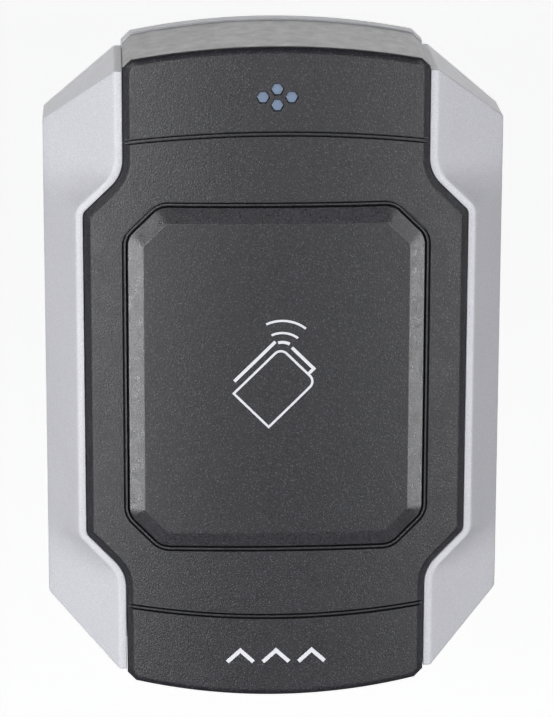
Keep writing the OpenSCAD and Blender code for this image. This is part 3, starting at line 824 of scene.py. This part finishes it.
def circuit_board():
    """Green solder resist with faint tracks under it."""
    s = Surface("circuit_board", shade(20, 88, 52), 0.3)
    tracks = s.node("TexWave", Vector=s.place, Scale=1 / (9.0 * MM), Distortion=4.0, Detail=1.0)
    s.tint(s.span(tracks.outputs["Fac"], 0.62, 0.7, 0.0, 0.6), shade(42, 122, 74))
    s.rough(3.0, 0.24, 0.38)
    s.bump(s.noise(0.6, 2.0), 0.01, 0.5)
    return s.material


def label_film():
    """Blank white film with a faint unevenness."""
    s = Surface("label_film", shade(226, 226, 228), 0.35)
    s.tint(s.span(s.noise(1.5, 3.0), 0.4, 0.7, 0.0, 0.4), shade(212, 212, 216))
    s.bump(s.noise(2.5, 2.0), 0.03, 0.5)
    return s.material


MATERIALS = {
    "dark_plastic": grained_plastic("dark_plastic", 0.42, 9.0, 0.3, 3.0, (0.32, 0.07)),
    "pad_plastic": grained_plastic("pad_plastic", 0.4, 12.0, 0.28, 4.0, (0.3, 0.06)),
    "silver_plastic": silver_paint(),
    "lens_plastic": lens_plastic(),
    "white_print": printed_ink(),
    "plate_steel": plated_sheet(),
    "circuit_board": circuit_board(),
    "label_film": label_film(),
    "black_plastic": plain("black_plastic", shade(42, 42, 45), shade(52, 52, 55), 0.45, 0.25),
    "light_plastic": plain("light_plastic", shade(226, 223, 212), shade(214, 210, 198), 0.4, 0.3),
    "red_plastic": plain("red_plastic", shade(158, 48, 40), shade(140, 40, 34), 0.4, 0.25),
    "fuse_green": plain("fuse_green", shade(60, 118, 82), shade(50, 100, 70), 0.35, 0.2),
    "adhesive": plain("adhesive", shade(214, 206, 184), shade(200, 192, 168), 0.7, 0.6),
    "copper_track": plain("copper_track", shade(206, 148, 92), shade(190, 130, 76), 0.32, 0.2, 0.9),
    "ferrite": plain("ferrite", shade(70, 66, 62), shade(84, 79, 73), 0.6, 0.35),
    "tin_plate": plain("tin_plate", shade(206, 208, 210), shade(190, 193, 196), 0.25, 0.4, 0.95, 0.006),
    "ceramic": plain("ceramic", shade(176, 150, 112), shade(158, 134, 100), 0.5, 0.15),
    "lamp_yellow": plain("lamp_yellow", shade(238, 224, 160), shade(226, 208, 140), 0.3, 0.2),
    "screw_steel": plain("screw_steel", shade(188, 190, 192), shade(164, 167, 170), 0.3, 0.3, 0.95, 0.01),
    "insert_brass": plain("insert_brass", shade(206, 172, 96), shade(190, 154, 80), 0.3, 0.3, 0.95, 0.01),
    "gasket_rubber": plain("gasket_rubber", shade(38, 38, 39), shade(50, 50, 51), 0.75, 0.4),
}


def place_piece(piece, node, slot):
    """Puts a finished piece on the reader in the place of a CAD node."""
    piece.data.materials.append(MATERIALS[slot])
    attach(piece, "reader")
    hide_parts(node)


def dress_frame_nodes():
    """Gives every CAD node the material of its slot in the record."""
    for part in frame["record"]["subparts"]:
        node = frame["nodes"][part["node"]]
        for i in range(max(1, len(node.material_slots))):
            if i < len(node.material_slots):
                node.material_slots[i].material = MATERIALS[part["material_slot"]]
            else:
                node.data.materials.append(MATERIALS[part["material_slot"]])


# ---------- Studio ----------

def make_camera():
    """Camera at the photograph's angle: a little from the left and from above."""
    camera = bpy.data.objects.new("camera", bpy.data.cameras.new("camera"))
    bpy.context.scene.collection.objects.link(camera)
    at = Vector(CAMERA_AT) * MM
    target = Vector(CAMERA_AIM) * MM
    turn = (target - at).to_track_quat("-Z", "Y").to_matrix().to_4x4()
    camera.matrix_world = Matrix.Translation(at) @ turn @ Matrix.Rotation(math.radians(CAMERA_ROLL), 4, "Z")
    camera.data.sensor_width = 36
    camera.data.lens = CAMERA_LENS
    camera.data.clip_start = 0.05
    bpy.context.scene.camera = camera


def softbox(name, at, width, height, watts):
    """A rectangular light that faces the origin."""
    light = bpy.data.lights.new(name, "AREA")
    light.shape = "RECTANGLE"
    light.size = width
    light.size_y = height
    light.energy = watts
    lamp = bpy.data.objects.new(name, light)
    bpy.context.scene.collection.objects.link(lamp)
    at = Vector(at)
    turn = (-at).to_track_quat("-Z", "Y").to_matrix().to_4x4()
    lamp.matrix_world = Matrix.Translation(at) @ turn


def make_floor():
    """A plain pale floor well below the object, which throws no light back up at it."""
    data = bpy.data.meshes.new("floor")
    data.from_pydata(
        [(x * FLOOR_HALF, y * FLOOR_HALF, FLOOR_Z) for x, y in ((-1, -1), (1, -1), (1, 1), (-1, 1))],
        [], [(0, 1, 2, 3)],
    )
    floor = bpy.data.objects.new("floor", data)
    bpy.context.scene.collection.objects.link(floor)
    s = Surface("floor_paint", shade(240, 240, 241), 0.9)
    s.tint(s.span(s.noise(400.0, 3.0), 0.3, 0.7, 0.0, 1.0), shade(237, 237, 238))
    s.shader.inputs["Emission Color"].default_value = (1, 1, 1, 1)
    s.shader.inputs["Emission Strength"].default_value = 0.7
    data.materials.append(s.material)
    floor.visible_diffuse = False
    floor.visible_glossy = False


def make_world():
    """Dim grey room with a bright backdrop behind the object. The eye sees it as plain pale."""
    world = bpy.data.worlds.new("studio")
    world.use_nodes = True
    tree = world.node_tree
    background = tree.nodes["Background"]
    direction = tree.nodes.new("ShaderNodeTexCoord").outputs["Generated"]
    facing = tree.nodes.new("ShaderNodeVectorMath")
    facing.operation = "DOT_PRODUCT"
    facing.inputs[1].default_value = BACKDROP_DIRECTION
    tree.links.new(direction, facing.inputs[0])
    glow = tree.nodes.new("ShaderNodeMapRange")
    glow.interpolation_type = "SMOOTHSTEP"
    for socket, value in zip(("From Min", "From Max", "To Min", "To Max"), BACKDROP_RANGE):
        glow.inputs[socket].default_value = value
    tree.links.new(facing.outputs["Value"], glow.inputs["Value"])
    seen = tree.nodes.new("ShaderNodeLightPath").outputs["Is Camera Ray"]
    pick = tree.nodes.new("ShaderNodeMix")
    pick.inputs["B"].default_value = 0.95
    tree.links.new(seen, pick.inputs["Factor"])
    tree.links.new(glow.outputs["Result"], pick.inputs["A"])
    tree.links.new(pick.outputs["Result"], background.inputs["Strength"])
    background.inputs["Color"].default_value = (1, 1, 1, 1)
    bpy.context.scene.world = world


def make_studio():
    make_camera()
    make_floor()
    make_world()
    for name, (at, width, height, watts) in LIGHTS.items():
        softbox(name, at, width, height, watts)
    bpy.context.scene.view_settings.view_transform = "Standard"


# ---------- Assembly ----------

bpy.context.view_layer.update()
dress_frame_nodes()
wing = make_wing()
place_piece(wing.make(), "silver_frame", "silver_plastic")
place_piece(wing.mirrored("wing_left").make(), "silver_frame", "silver_plastic")
place_piece(make_rear_ring(), "silver_frame", "silver_plastic")
place_piece(make_cover(), "front_cover", "dark_plastic")
pad = make_pad()
place_piece(pad, "card_pad", "pad_plastic")
# second slot: the lighter copy of the pad plastic, painted sheen on the tilted border
pad.data.materials.append(pad_slope_painted_sheen())
place_piece(make_lenses(), "light_guide", "lens_plastic")
make_studio()
